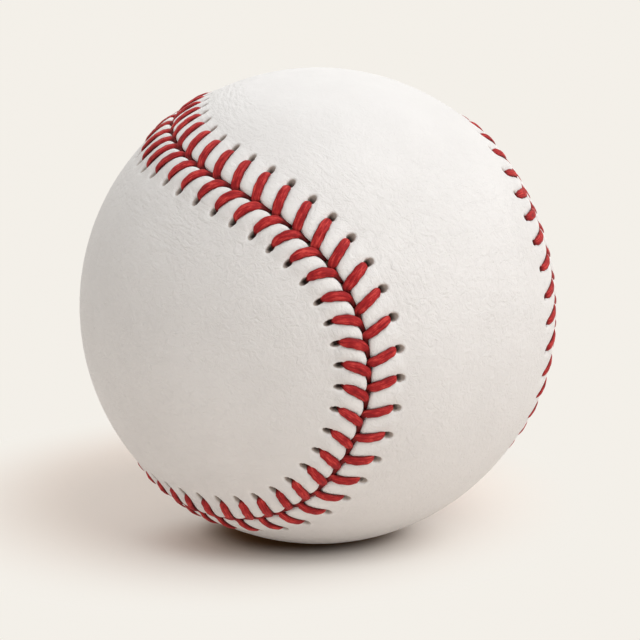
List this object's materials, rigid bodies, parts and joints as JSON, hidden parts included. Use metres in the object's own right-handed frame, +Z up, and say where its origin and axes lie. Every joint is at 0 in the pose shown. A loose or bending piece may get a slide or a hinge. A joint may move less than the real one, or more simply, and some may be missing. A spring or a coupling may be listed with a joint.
{
  "type": "baseball",
  "caption": "Hand-sewn leather baseball: two figure-of-eight panels joined by a raised red-stitched seam over wound yarn layers and a cushioned cork core.",
  "frame": {"origin": "centre of the ball", "axes": "+Z up, in the pose in which the ball lies on a level surface; the pictured side faces -Y"},
  "size_m": [0.0742, 0.0753, 0.0742],
  "materials": {
    "cork": "speckled cork and rubber mix",
    "black_rubber": "matt moulded rubber",
    "red_rubber": "matt moulded rubber",
    "grey_yarn": "wound wool yarn",
    "white_yarn": "wound wool yarn",
    "cotton_yarn": "wound cotton yarn",
    "latex": "thin dried latex",
    "leather": "smooth off-white leather with fine grain",
    "red_thread": "waxed red cotton thread"
  },
  "bodies": {
    "root": {"cork_core": "cork", "black_rubber_upper": "black_rubber", "black_rubber_lower": "black_rubber", "rim_gasket": "red_rubber", "red_cushion_upper": "red_rubber", "red_cushion_lower": "red_rubber", "first_winding": "grey_yarn", "second_winding": "white_yarn", "third_winding": "grey_yarn", "finish_winding": "cotton_yarn", "adhesive_film": "latex", "cover_left": "leather", "cover_right": "leather", "thread_one": "red_thread", "thread_two": "red_thread"}
  },
  "joints": []
}
